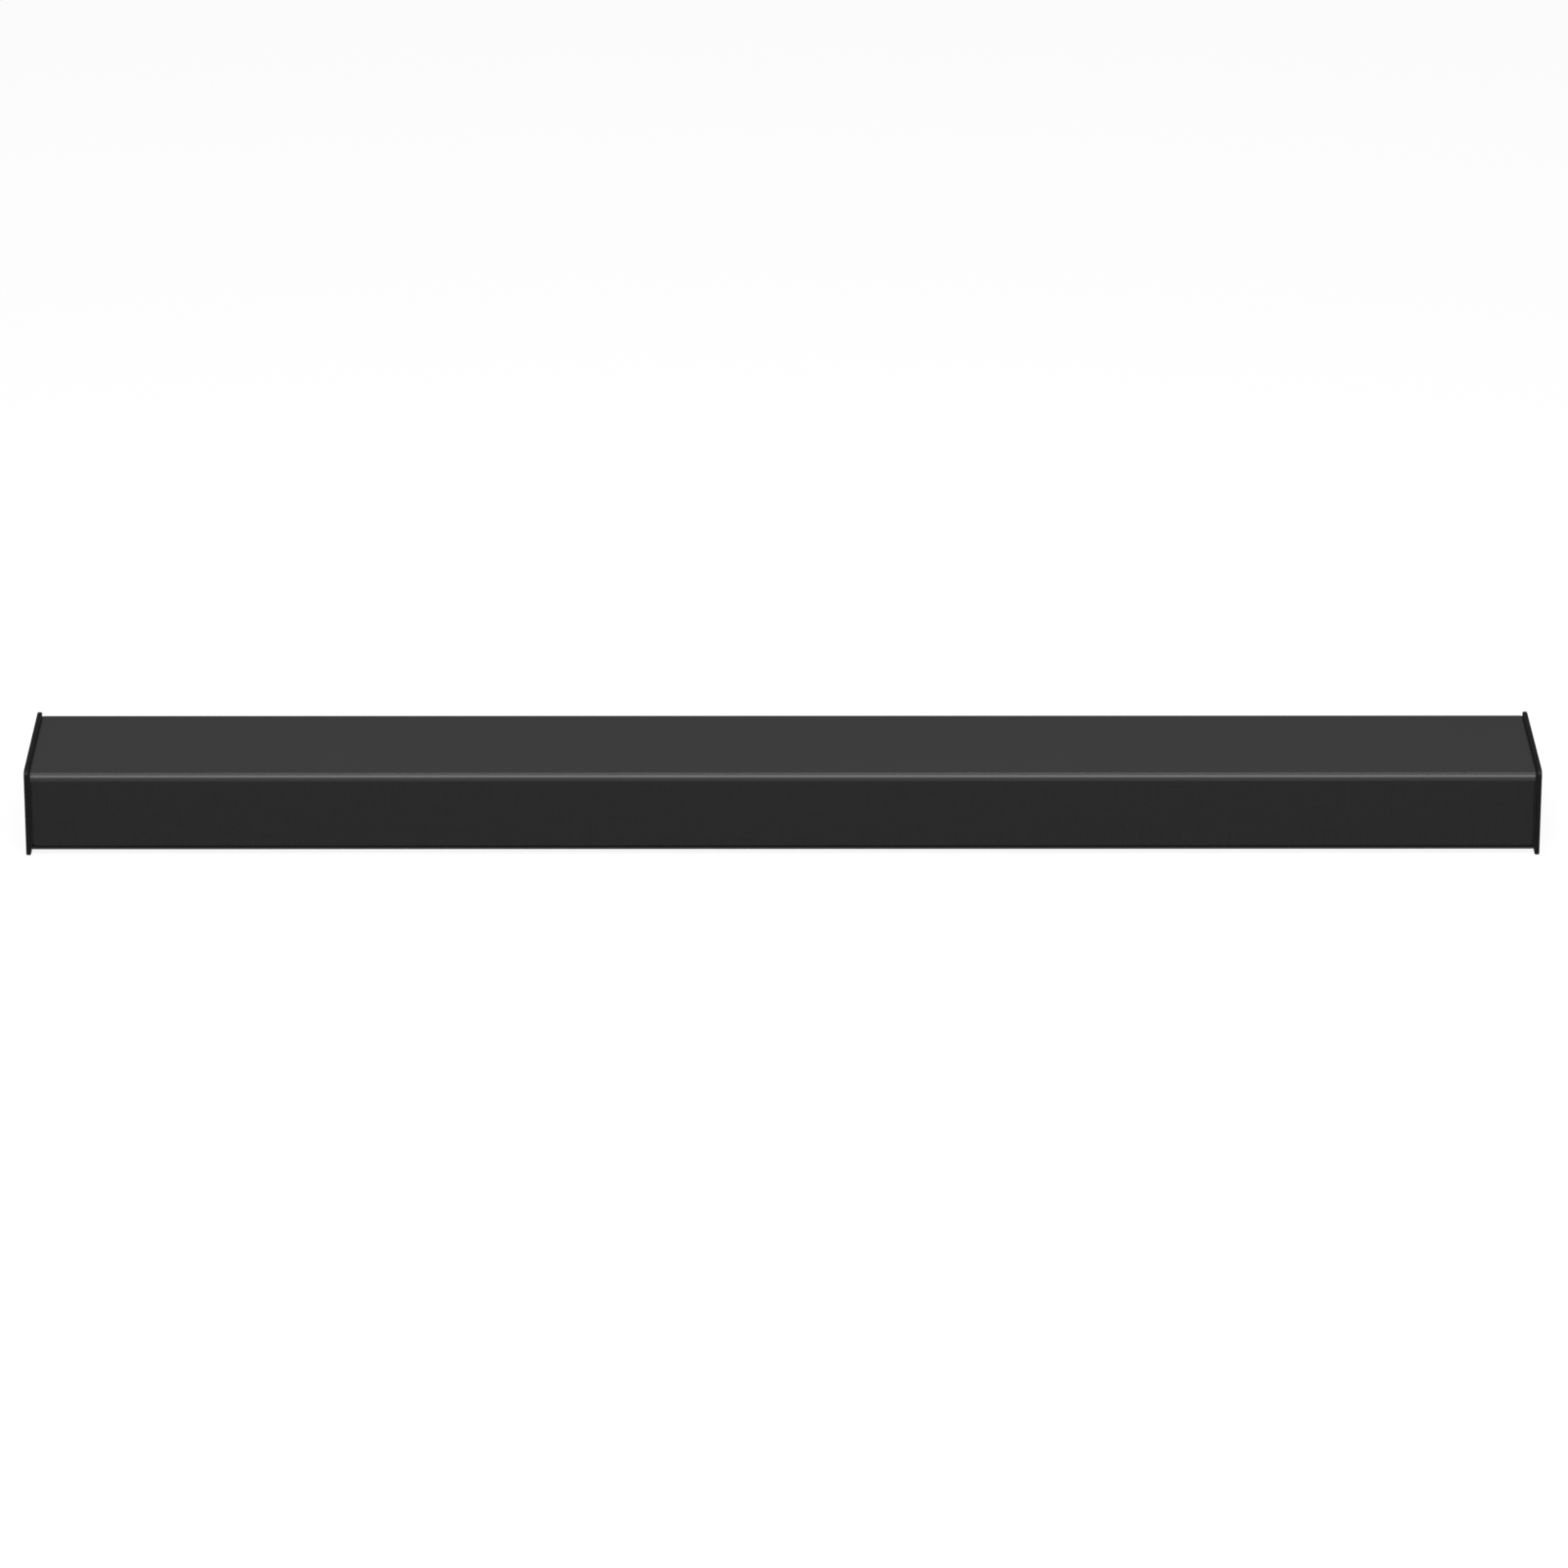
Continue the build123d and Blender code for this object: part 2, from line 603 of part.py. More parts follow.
def tweeter_motor():
    """Pot, magnet and pole plate of one tweeter."""
    pot = slab(Circle(THROAT_R + 1.4), -16, -4) - slab(Circle(DOME_R + 0.6), -13, -4)
    magnet = slab(Circle(DOME_R - 2), -13, -8)
    pole = slab(Circle(DOME_R - 0.9), -8, -4.5)
    return group([pot, magnet, pole])


def tweeter_dome():
    """Dome, its small roll and its voice coil."""
    skin, base = 0.4, -1.0
    ball_r = (DOME_R**2 + DOME_RISE**2) / (2 * DOME_RISE)
    centre = base + DOME_RISE - ball_r
    cap = Pos(0, 0, centre) * (Sphere(ball_r) - Sphere(ball_r - skin))
    cap &= Pos(0, 0, base + 5) * Cylinder(DOME_R + 1, 10)
    roll = turned([
        (DOME_R - 0.5, base - skin), (DOME_R - 0.5, base + skin), (DOME_R, base + skin),
        (DOME_R + 0.6, base + 0.9), (DOME_R + 1.2, base), (DOME_R + 1.2, base - skin),
    ])
    former = slab(Circle(DOME_R), -9, base - skin)
    former -= slab(Circle(DOME_R - 0.4), -9, base - skin)
    return cap + roll + former


# --- Display --------------------------------------------------------------------
def display_board():
    """Small board on the baffle with five lamps and the remote's receiver."""
    y = BAFFLE_FRONT
    board = block(-32, 32, y - 1.2, y, DRIVER_Z - 7, DRIVER_Z + 7)
    board -= union(rod_y(x, DRIVER_Z, PILOT_R, y - 2, y + 1) for x in (-26.0, 26.0))
    lamps = [block(x - 1.2, x + 1.2, y - 2.2, y - 1.2, DRIVER_Z - 0.8, DRIVER_Z + 0.8)
             for x in (-16, -10, -4, 2, 8)]
    receiver = block(13.5, 19.5, y - 3.4, y - 1.2, DRIVER_Z - 3, DRIVER_Z + 3)
    receiver += Pos(16.5, y - 3.4, DRIVER_Z) * Sphere(2)
    return group([board, *lamps, receiver])


def display_lens():
    """Smoked bar that carries the lamps' light forward to the cloth."""
    y = BAFFLE_FRONT
    lens = facing_front(-4, y - 2.6) * extrude(SlotOverall(32, 6), 4.5)
    feet = [block(x - 1, x + 1, y - 2.8, y - 1.2, DRIVER_Z - 1, DRIVER_Z + 1)
            for x in (-19, 11)]
    return lens + union(feet)


# --- Back of the box ---------------------------------------------------------------
def bass_port(x):
    """Tube with a flared mouth at the rear, where it is seated in the wall."""
    tube_r, mouth = PORT_R + 2, PORT_FLARE + 1.3
    start, flare = BACK - PORT_LENGTH, 7.0
    bore = [(PORT_R, start), (PORT_R, BACK - flare)]
    for angle in (22.5, 45, 67.5, 90):
        turn = radians(angle)
        bore.append((PORT_R + (PORT_FLARE - PORT_R) * (1 - cos(turn)),
                     BACK - flare + flare * sin(turn)))
    outside = [(mouth, BACK), (mouth, REAR_INSIDE), (mouth + 1.5, REAR_INSIDE),
               (mouth + 1.5, REAR_INSIDE - 1.5), (tube_r, BACK - flare - 3), (tube_r, start)]
    return Plane(origin=(x, 0, PORT_Z), x_dir=(1, 0, 0), z_dir=(0, 1, 0)) * turned(bore + outside)


def keyhole_plates():
    plates = []
    for x in KEYHOLE_X:
        plate = block(x - 20, x + 20, REAR_INSIDE - 1.5, REAR_INSIDE, KEYHOLE_Z - 9, KEYHOLE_Z + 19)
        plate -= rod_y(x, KEYHOLE_Z, KEYHOLE_HEAD_R, REAR_INSIDE - 2, REAR_INSIDE + 1)
        top = KEYHOLE_Z + KEYHOLE_RISE
        plate -= rod_y(x, top, KEYHOLE_SLOT_R, REAR_INSIDE - 2, REAR_INSIDE + 1)
        plate -= block(x - KEYHOLE_SLOT_R, x + KEYHOLE_SLOT_R, REAR_INSIDE - 2,
                       REAR_INSIDE + 1, KEYHOLE_Z, top)
        for side in (-15, 15):
            plate -= rod_y(x + side, 29.0, PILOT_R, REAR_INSIDE - 2, REAR_INSIDE + 1)
        plates.append(plate)
    return group(plates)


def wall_inserts():
    """Brass threaded inserts, flush with the back."""
    return group(
        rod_y(x, INSERT_Z, INSERT_OUTER_R, BACK - 13, BACK)
        - rod_y(x, INSERT_Z, INSERT_R, BACK - 13, BACK)
        for x in INSERT_X
    )


def connector_bay():
    """Recessed cup, open to the rear, with a hole in its floor for each connector."""
    half, low, high = BAY
    gap = 0.2
    cup = block(-half + gap, half - gap, BACK - BAY_DEPTH, BACK, low + gap, high - gap)
    cup = chamfer(cup.faces().sort_by(Axis.Y)[-1].edges(), 0.4)
    cup += block(-half - 4, half + 4, REAR_INSIDE - 1.5, REAR_INSIDE, low - 3, high + 3)
    wall = gap + BAY_WALL
    cup -= block(-half + wall, half - wall, BAY_FLOOR, BACK + 1, low + wall, high - wall)
    y0, y1 = BACK - BAY_DEPTH - 1, BAY_FLOOR + 1
    gap = 0.3
    cup -= block(INLET_X - 10 - gap, ROCKER_X + 8 + gap, y0, y1, INLET_Z - 9.3, INLET_Z + 9.3)
    for x, half_width, height in ((HDMI_X, 7.6, 6.6), (OPTICAL_X, 6.5, 12), (USB_X, 7.1, 7)):
        cup -= block(x - half_width - gap, x + half_width + gap, y0, y1,
                     BOARD_TOP - gap, BOARD_TOP + height + gap)
    cup -= rod_y(AUX_X, BOARD_TOP + 5, 4 + gap, y0, y1)
    for x in BUTTON_X:
        cup -= rod_y(x, BUTTON_Z, 3.3, y0, y1)
    return cup


def mains_inlet():
    """Two-pin inlet with the power switch's aperture beside it."""
    left, right = INLET_X - 10, ROCKER_X + 8
    face = BAY_FLOOR + 1.5
    body = block(left, right, 15, BAY_FLOOR, INLET_Z - 9, INLET_Z + 9)
    body += block(left - 2, right + 2, BAY_FLOOR, face, INLET_Z - 10.5, INLET_Z + 10.5)
    mouth = facing_front(INLET_X, face, INLET_Z) * extrude(SlotOverall(14.6, 8), 10)
    body -= mouth
    body -= block(ROCKER_X - 4.6, ROCKER_X + 4.6, 22, face + 1, INLET_Z - 7.2, INLET_Z + 7.2)
    body -= rod_x(ROCKER_Y, INLET_Z, 1.27, ROCKER_X - 6, ROCKER_X + 6)
    pins = [rod_y(INLET_X + s * 4.3, INLET_Z, 1.2, face - 10, face - 1.5) for s in (-1, 1)]
    return group([body, *pins])


def power_rocker():
    """Rocker with a shallow V face, tilted to its off side, and its pivot pin."""
    half, face = 6.1, BAY_FLOOR + 2.6
    outline = Plane.YZ * make_face(Polyline(
        (face - 1.3, 0), (face, half), (26.5, half), (25.0, 0), (26.5, -half), (face, -half),
        close=True,
    ))
    body = Pos(ROCKER_X, 0, INLET_Z) * extrude(outline, 4.2, both=True)
    body += rod_x(ROCKER_Y, INLET_Z, 1.2, ROCKER_X - 5.6, ROCKER_X + 5.6)
    pivot = Axis((ROCKER_X, ROCKER_Y, INLET_Z), (1, 0, 0))
    return body.rotate(pivot, ROCKER_TILT)


def push_button(x):
    """Round cap with a collar behind the bay's floor."""
    cap = rod_y(x, BUTTON_Z, 3.0, 29.0, BAY_FLOOR + 1.4)
    cap = fillet(cap.edges().sort_by(Axis.Y)[-1], 0.6)
    return cap + rod_y(x, BUTTON_Z, 4.2, 29.0, 30.6)


def hdmi_socket():
    """Folded metal shell with chamfered lower corners and a contact tongue."""
    z0 = BOARD_TOP
    outline = Polyline((-7.5, 6.4), (7.5, 6.4), (7.5, 2.2), (6.0, 0), (-6.0, 0), (-7.5, 2.2),
                       close=True)
    inner = offset(outline, -0.5).edges()
    place = Plane(origin=(HDMI_X, 20, z0), x_dir=(1, 0, 0), z_dir=(0, -1, 0))
    shell = place * extrude(make_face(outline), -14)
    shell -= place * Pos(0, 0, -1) * extrude(make_face(inner), -14)
    tongue = block(HDMI_X - 5.6, HDMI_X + 5.6, 20.5, 29, z0 + 3.2, z0 + 4.4)
    return group([shell, tongue])


def usb_socket():
    z0 = BOARD_TOP
    shell = block(USB_X - 7, USB_X + 7, 20, 34, z0, z0 + 6.8)
    shell -= block(USB_X - 6.4, USB_X + 6.4, 21, 35, z0 + 0.6, z0 + 6.2)
    tongue = block(USB_X - 5.6, USB_X + 5.6, 21, 29, z0 + 3.4, z0 + 5.2)
    return group([shell, tongue])


def optical_socket():
    """Square digital audio socket with its light outlet at the bottom."""
    z0 = BOARD_TOP
    body = block(OPTICAL_X - 6.4, OPTICAL_X + 6.4, 20, 34.2, z0, z0 + 11.8)
    body -= block(OPTICAL_X - 4.9, OPTICAL_X + 4.9, 22.5, 35, z0 + 1.0, z0 + 10.8)
    body -= rod_x(SHUTTER_Y, SHUTTER_Z, 0.47, OPTICAL_X - 5.5, OPTICAL_X + 5.5)
    window = rod_y(OPTICAL_X, z0 + 5.9, 1.5, 22.5, 23.0)
    return group([body, window])


def optical_shutter():
    """Dust shutter hung from its pin, which swings inward when a plug goes in."""
    leaf = block(OPTICAL_X - 4.6, OPTICAL_X + 4.6, SHUTTER_Y - 0.4, SHUTTER_Y + 0.4,
                 SHUTTER_Z - 9.0, SHUTTER_Z)
    return leaf + rod_x(SHUTTER_Y, SHUTTER_Z, 0.4, OPTICAL_X - 5.3, OPTICAL_X + 5.3)


def aux_socket():
    z = BOARD_TOP + 5
    body = block(AUX_X - 6, AUX_X + 6, 18, 30.6, BOARD_TOP, BOARD_TOP + 10.5)
    body += rod_y(AUX_X, z, 4, 30.6, 34.4)
    return body - rod_y(AUX_X, z, 1.8, 20, 35)


# --- Boards --------------------------------------------------------------------------
def board(limits):
    x0, x1, y0, y1 = limits
    plate = block(x0, x1, y0, y1, BOARD_Z, BOARD_TOP)
    inside = [(x, y) for x, y in post_places() if x0 < x < x1 and y0 < y < y1]
    return plate - union(rod_z(x, y, PILOT_R, BOARD_Z - 1, BOARD_TOP + 1) for x, y in inside)


def main_board():
    """Board with its processor, radio can and the two buttons' switches."""
    processor = block(40, 58, -14, 4, BOARD_TOP, BOARD_TOP + 1.6)
    radio = block(70, 92, -18, 8, BOARD_TOP, BOARD_TOP + 2.6)
    switches = [block(x - 3, x + 3, 24, 28, BOARD_TOP, BUTTON_Z + 3) for x in BUTTON_X]
    return group([board(MAIN_BOARD), processor, radio, *switches])


def board_capacitors():
    """Filter capacitors, and the large one beside the transformer."""
    small = [rod_z(x, y, 5, BOARD_TOP, BOARD_TOP + 16) for x in (-41, 34) for y in (-12, 2)]
    return group(small + [rod_z(-160, 0, 8, BOARD_TOP, BOARD_TOP + 24)])


def amp_heatsink():
    """Finned block on the amplifier chip."""
    x0, x1, y0, y1 = -28.0, 28.0, -22.0, 2.0
    sink = block(x0, x1, y0, y1, BOARD_TOP, BOARD_TOP + 4)
    fins, thick = 9, 1.6
    pitch = (x1 - x0 - thick) / (fins - 1)
    for i in range(fins):
        left = x0 + i * pitch
        sink += block(left, left + thick, y0, y1, BOARD_TOP + 4, BOARD_TOP + 20)
    return sink


def power_transformer():
    """Wound bobbin in a two-piece core."""
    x, y, z = -118.0, -8.0, BOARD_TOP
    core = block(x - 17, x + 17, y - 7, y + 7, z + 3, z + 27)
    window = block(x - 12, x + 12, y - 8, y + 8, z + 8, z + 22)
    bobbin = block(x - 11.5, x + 11.5, y - 12, y + 12, z, z + 21.5)
    bobbin -= block(x - 18, x + 18, y - 7, y + 7, z, z + 8)
    return group([core - window, bobbin])


def lead_route(side):
    """Points of a speaker lead, from the main board to the outer woofer."""
    start_x = -47.0 if side < 0 else 88.0
    points = [(start_x, 12, BOARD_TOP + 0.3), (start_x + side * 2, 14, 34),
              (start_x + side * 20, 24, 45)]
    far_x, far_y, far_z = side * 400.0, -5.0, 45.0
    reach = far_x - points[-1][0]
    waypoints = [(28, 46.2), (26, 44.6), (21, 46.0), (22, 44.4), (15, 46.0), (6, 44.4)]
    for step, (y, z) in enumerate(waypoints, 1):
        points.append((points[2][0] + reach * step / (len(waypoints) + 1), y, z))
    return points + [(far_x, far_y, far_z), (far_x + side * 22, far_y, 38)]


def bend_radius(before, corner, after):
    """Largest arc at a corner that uses 0.45 of the shorter run beside it."""
    a, b = Vector(*corner) - Vector(*before), Vector(*after) - Vector(*corner)
    return 0.45 * min(a.length, b.length) / tan(radians(a.get_angle(b)) / 2)


def speaker_lead(side):
    points = lead_route(side)
    radii = [bend_radius(*three) for three in zip(points, points[1:], points[2:])]
    print("speaker lead radii", [round(r) for r in radii])
    path = FilletPolyline(*points, radius=radii)
    start = Plane(origin=points[0], z_dir=Vector(*points[1]) - Vector(*points[0]))
    lead = sweep(start * Circle(LEAD_R), path=path)
    expected = pi * LEAD_R**2 * path.length
    print("speaker lead volume", round(lead.volume), "expected", round(expected))
    return lead


def pan_head_screws():
    """All the pan-head screws: drivers, boards, display and keyhole plates."""
    screws = []
    drivers = ((WOOFER_X, WOOFER_SCREW, FLANGE), (TWEETER_X, TWEETER_SCREW, TWEETER_FLANGE))
    for xs, spacing, flange in drivers:
        for x in xs:
            place = facing_front(x, BAFFLE_FRONT - flange[3])
            screws += [place * Pos(u, v, 0) * pan_screw(8) for u, v in corners(spacing)]
    screws += [facing_front(x, BAFFLE_FRONT - 1.2) * pan_screw(5) for x in (-26.0, 26.0)]
    screws += [Pos(x, y, BOARD_TOP) * pan_screw(8) for x, y in post_places()]
    for x in KEYHOLE_X:
        screws += [facing_front(x + side, REAR_INSIDE - 1.5, 29.0) * pan_screw(3)
                   for side in (-15, 15)]
    return group(screws)


# --- Assembly ---------------------------------------------------------------------------
add("top_shell", top_shell())
add("bottom_chassis", bottom_chassis())
add("rear_panel", rear_panel())
add("end_plate_left", end_plate(-1))
add("end_plate_right", end_plate(1))
add("end_gaskets", end_gaskets())
add("countersunk_screws", countersunk_screws())
add("rubber_feet", rubber_feet())
add("grille_frame", grille_frame())
add("grille_fabric", grille_fabric())
add("grille_sockets", grille_sockets())
add("front_baffle", front_baffle())
add("pan_head_screws", pan_head_screws())
add("display_board", display_board())
add("display_lens", display_lens())
add("bass_port_left", bass_port(PORT_X[0]))
add("bass_port_right", bass_port(PORT_X[1]))
add("keyhole_plates", keyhole_plates())
add("wall_inserts", wall_inserts())
add("connector_bay", connector_bay())
add("mains_inlet", mains_inlet())
add("power_rocker", power_rocker())
add("pair_button", push_button(BUTTON_X[0]))
add("source_button", push_button(BUTTON_X[1]))
add("hdmi_socket", hdmi_socket())
add("usb_socket", usb_socket())
add("optical_socket", optical_socket())
add("optical_shutter", optical_shutter())
add("aux_socket", aux_socket())
add("main_board", main_board())
add("power_board", board(POWER_BOARD))
add("board_capacitors", board_capacitors())
add("amp_heatsink", amp_heatsink())
add("power_transformer", power_transformer())
add("speaker_leads", group(speaker_lead(side) for side in (-1, 1)))

WOOFER_PIECES = {"frame": woofer_frame(), "motor": woofer_motor(), "cone": woofer_cone(),
                 "surround": woofer_surround(), "spider": woofer_spider()}
for number, x in enumerate(WOOFER_X, 1):
    for piece, shape in WOOFER_PIECES.items():
        add(f"woofer_{number}_{piece}", facing_front(x) * shape)

TWEETER_PIECES = {"frame": tweeter_frame(), "dome": tweeter_dome()}
for number, x in enumerate(TWEETER_X, 1):
    for piece, shape in TWEETER_PIECES.items():
        add(f"tweeter_{number}_{piece}", facing_front(x) * shape)
add("tweeter_motors", group(facing_front(x) * tweeter_motor() for x in TWEETER_X))

os.makedirs("parts", exist_ok=True)
for name, shape in PARTS.items():
    export_step(shape, f"parts/{name}.step")
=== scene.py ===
"""Looks of the soundbar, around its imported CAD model.

Metres, with +X along the bar, -Y out of the grille and +Z up.
"""

import json
import math

import bmesh
import bpy
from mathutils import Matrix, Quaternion, Vector


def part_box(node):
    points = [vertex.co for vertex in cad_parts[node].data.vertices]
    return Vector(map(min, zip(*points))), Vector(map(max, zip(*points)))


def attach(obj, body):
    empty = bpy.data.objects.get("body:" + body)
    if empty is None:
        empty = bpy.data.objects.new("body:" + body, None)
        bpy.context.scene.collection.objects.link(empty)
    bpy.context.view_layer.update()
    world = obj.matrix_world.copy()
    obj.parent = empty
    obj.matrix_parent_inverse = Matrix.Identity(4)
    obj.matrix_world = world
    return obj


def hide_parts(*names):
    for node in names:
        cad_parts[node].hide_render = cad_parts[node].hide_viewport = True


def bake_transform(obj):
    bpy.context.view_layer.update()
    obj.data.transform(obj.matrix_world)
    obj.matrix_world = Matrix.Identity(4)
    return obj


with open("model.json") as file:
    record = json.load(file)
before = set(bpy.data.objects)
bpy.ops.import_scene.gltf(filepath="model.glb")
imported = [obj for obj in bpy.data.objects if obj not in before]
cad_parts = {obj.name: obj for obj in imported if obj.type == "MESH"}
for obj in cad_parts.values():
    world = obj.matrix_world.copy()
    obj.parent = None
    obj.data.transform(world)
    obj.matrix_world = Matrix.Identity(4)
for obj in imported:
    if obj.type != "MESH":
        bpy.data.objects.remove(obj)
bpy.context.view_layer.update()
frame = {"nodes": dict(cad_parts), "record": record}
nodes = frame["nodes"]
scene = bpy.context.scene

MM = 0.001
WOOFERS = (1, 2, 3, 4)


# --- Shader helpers --------------------------------------------------------------
class Shader:
    """A material's node tree, with short ways to add what the materials below share."""

    def __init__(self, name, **values):
        self.material = bpy.data.materials.new(name)
        self.material.use_nodes = True
        self.tree = self.material.node_tree
        self.shader = self.tree.nodes["Principled BSDF"]
        self.height = None
        for socket, value in values.items():
            self.shader.inputs[socket.replace("_", " ")].default_value = value
        place = self.tree.nodes.new("ShaderNodeTexCoord")
        self.place = place.outputs["Object"]

    def node(self, kind, **settings):
        made = self.tree.nodes.new(kind)
        for key, value in settings.items():
            setattr(made, key, value)
        return made

    def link(self, source, target):
        self.tree.links.new(source, target)

    def feed(self, socket, value):
        """Links value if it is an output, or else sets it."""
        if isinstance(value, bpy.types.NodeSocket):
            self.link(value, socket)
        else:
            socket.default_value = value

    def math(self, operation, first, second=0.0):
        made = self.node("ShaderNodeMath", operation=operation)
        self.feed(made.inputs[0], first)
        self.feed(made.inputs[1], second)
        return made.outputs[0]

    def stretched(self, scale):
        """Object coordinates, scaled by a vector."""
        made = self.node("ShaderNodeMapping")
        made.inputs["Scale"].default_value = scale
        self.link(self.place, made.inputs["Vector"])
        return made.outputs["Vector"]

    def noise(self, scale, detail=3.0, roughness=0.5, stretch=None):
        made = self.node("ShaderNodeTexNoise")
        made.inputs["Scale"].default_value = scale
        made.inputs["Detail"].default_value = detail
        made.inputs["Roughness"].default_value = roughness
        self.link(self.stretched(stretch) if stretch else self.place, made.inputs["Vector"])
        return made.outputs["Fac"]

    def voronoi(self, scale, feature="F1"):
        made = self.node("ShaderNodeTexVoronoi", feature=feature)
        made.inputs["Scale"].default_value = scale
        self.link(self.place, made.inputs["Vector"])
        return made.outputs["Distance"]

    def remap(self, value, low, high, start=0.0, end=1.0):
        made = self.node("ShaderNodeMapRange")
        self.link(value, made.inputs["Value"])
        made.inputs["From Min"].default_value = start
        made.inputs["From Max"].default_value = end
        made.inputs["To Min"].default_value = low
        made.inputs["To Max"].default_value = high
        return made.outputs["Result"]

    def mix(self, factor, first, second):
        made = self.node("ShaderNodeMix", data_type="RGBA")
        self.feed(made.inputs["Factor"], factor)
        self.feed(made.inputs[6], first)
        self.feed(made.inputs[7], second)
        return made.outputs[2]

    def axis(self, name):
        """One coordinate of the object's own space, in metres."""
        made = self.node("ShaderNodeSeparateXYZ")
        self.link(self.place, made.inputs[0])
        return made.outputs[name]

    def colour(self, value):
        self.link(value, self.shader.inputs["Base Color"])

    def roughness(self, value):
        self.link(value, self.shader.inputs["Roughness"])

    def bump(self, height, distance, strength=1.0):
        """Adds a layer of bump on top of those already there."""
        made = self.node("ShaderNodeBump")
        made.inputs["Distance"].default_value = distance
        made.inputs["Strength"].default_value = strength
        self.link(height, made.inputs["Height"])
        if self.height is not None:
            self.link(self.height, made.inputs["Normal"])
        self.height = made.outputs["Normal"]
        self.link(self.height, self.shader.inputs["Normal"])


def grey(value):
    """Neutral linear colour."""
    return (value, value, value, 1.0)


def shade(s, dark, light, factor):
    """Base colour between two greys."""
    s.colour(s.mix(factor, grey(dark), grey(light)))


# --- Materials ---------------------------------------------------------------------
def coated_metal():
    """Satin powder coat of the top shell, with fine orange peel."""
    s = Shader("shell_coat", IOR=1.5, Specular_IOR_Level=0.27)
    grain = s.noise(2600, 4)
    drift = s.noise(9, 2)
    mottle = s.math("ADD", s.math("MULTIPLY", grain, 0.6), s.math("MULTIPLY", drift, 0.4))
    shade(s, 0.0174, 0.0221, mottle)
    s.roughness(s.remap(s.noise(1400, 3), 0.38, 0.48))
    s.bump(s.voronoi(1500), 0.00002, 0.25)
    s.bump(grain, 0.00001, 0.3)
    return s.material


def anodised_plate():
    """Black anodised end plates, with a brushed grain that runs from front to back."""
    s = Shader("plate_black", IOR=1.5, Specular_IOR_Level=0.1)
    brushed = s.noise(900, 3, 0.6, (1.0, 0.03, 1.0))
    shade(s, 0.005, 0.0075, brushed)
    s.roughness(s.remap(brushed, 0.38, 0.52))
    s.bump(brushed, 0.00001, 0.5)
    return s.material


def moulded_plastic(name, dark, light, rough=(0.55, 0.7), pitch=1800):
    """Black plastic from a spark-eroded mould."""
    s = Shader(name, IOR=1.46)
    grain = s.voronoi(pitch, "SMOOTH_F1")
    shade(s, dark, light, s.noise(400, 3))
    s.roughness(s.remap(grain, rough[0], rough[1]))
    s.bump(grain, 0.00004, 0.5)
    s.bump(s.noise(pitch * 2.2, 2), 0.00001, 0.4)
    return s.material


def woven_cloth():
    """Acoustic cloth: a plain weave of dull yarns, a few of them a little paler."""
    yarn = 0.56 * MM
    s = Shader("grille_cloth", Roughness=0.92, Specular_IOR_Level=0.1,
               Sheen_Weight=0.04, Sheen_Roughness=0.5)
    # Up the front and back along its folds in one go, so that the weave runs round them.
    face = s.math("SUBTRACT", s.axis("Z"), s.axis("Y"))
    across = s.math("MULTIPLY", s.axis("X"), math.pi / yarn)
    up = s.math("MULTIPLY", face, math.pi / yarn)
    warp = s.math("MULTIPLY", s.math("ABSOLUTE", s.math("SINE", across)),
                  s.math("ABSOLUTE", s.math("COSINE", up)))
    weft = s.math("MULTIPLY", s.math("ABSOLUTE", s.math("COSINE", across)),
                  s.math("ABSOLUTE", s.math("SINE", up)))
    thread = s.math("MAXIMUM", warp, weft)
    across_tint = s.noise(1 / yarn, 1, 0.5, (1.0, 0.02, 0.02))
    up_tint = s.noise(1 / yarn, 1, 0.5, (0.02, 0.6, 1.0))
    tint = s.math("MULTIPLY", s.math("ADD", across_tint, up_tint), 0.5)
    body = s.math("MULTIPLY", s.remap(thread, 0.35, 1.0), s.remap(tint, 0.88, 1.12, 0.3, 0.7))
    shade(s, 0.0042, 0.0168, body)
    s.bump(thread, 0.00018, 0.8)
    s.bump(s.noise(5200, 2), 0.00004, 0.5)
    return s.material


def soft_rubber():
    s = Shader("black_rubber", IOR=1.5, Specular_IOR_Level=0.3)
    shade(s, 0.006, 0.012, s.noise(700, 4))
    s.roughness(s.remap(s.noise(1500, 3), 0.6, 0.8))
    s.bump(s.noise(3000, 3), 0.00003, 0.4)
    return s.material


def cone_paper():
    """Pressed paper with long fibres and a faint sheen of lacquer."""
    s = Shader("cone_paper", Coat_Weight=0.08, Coat_Roughness=0.4)
    fibres = s.noise(1600, 6, 0.7, (1.0, 1.0, 0.35))
    cross = s.noise(1600, 6, 0.7, (0.35, 1.0, 1.0))
    weave = s.math("MAXIMUM", fibres, cross)
    shade(s, 0.030, 0.085, weave)
    s.roughness(s.remap(weave, 0.6, 0.85))
    s.bump(weave, 0.0001, 0.6)
    return s.material


def spider_cloth():
    """Resin-dipped cotton in its yellow-brown."""
    s = Shader("spider_cloth", Roughness=0.8)
    threads = s.noise(2500, 2, 0.6, (1.0, 1.0, 0.2))
    s.colour(s.mix(threads, (0.30, 0.17, 0.05, 1), (0.50, 0.33, 0.12, 1)))
    s.bump(threads, 0.00008, 0.6)
    return s.material


def dome_silk():
    s = Shader("dome_silk", Sheen_Weight=0.25, Coat_Weight=0.15, Coat_Roughness=0.3)
    threads = s.math("MAXIMUM", s.noise(6000, 1, 0.5, (1, 1, 0.1)), s.noise(6000, 1, 0.5, (0.1, 1, 1)))
    shade(s, 0.018, 0.045, threads)
    s.roughness(s.remap(threads, 0.35, 0.6))
    s.bump(threads, 0.00005, 0.5)
    return s.material


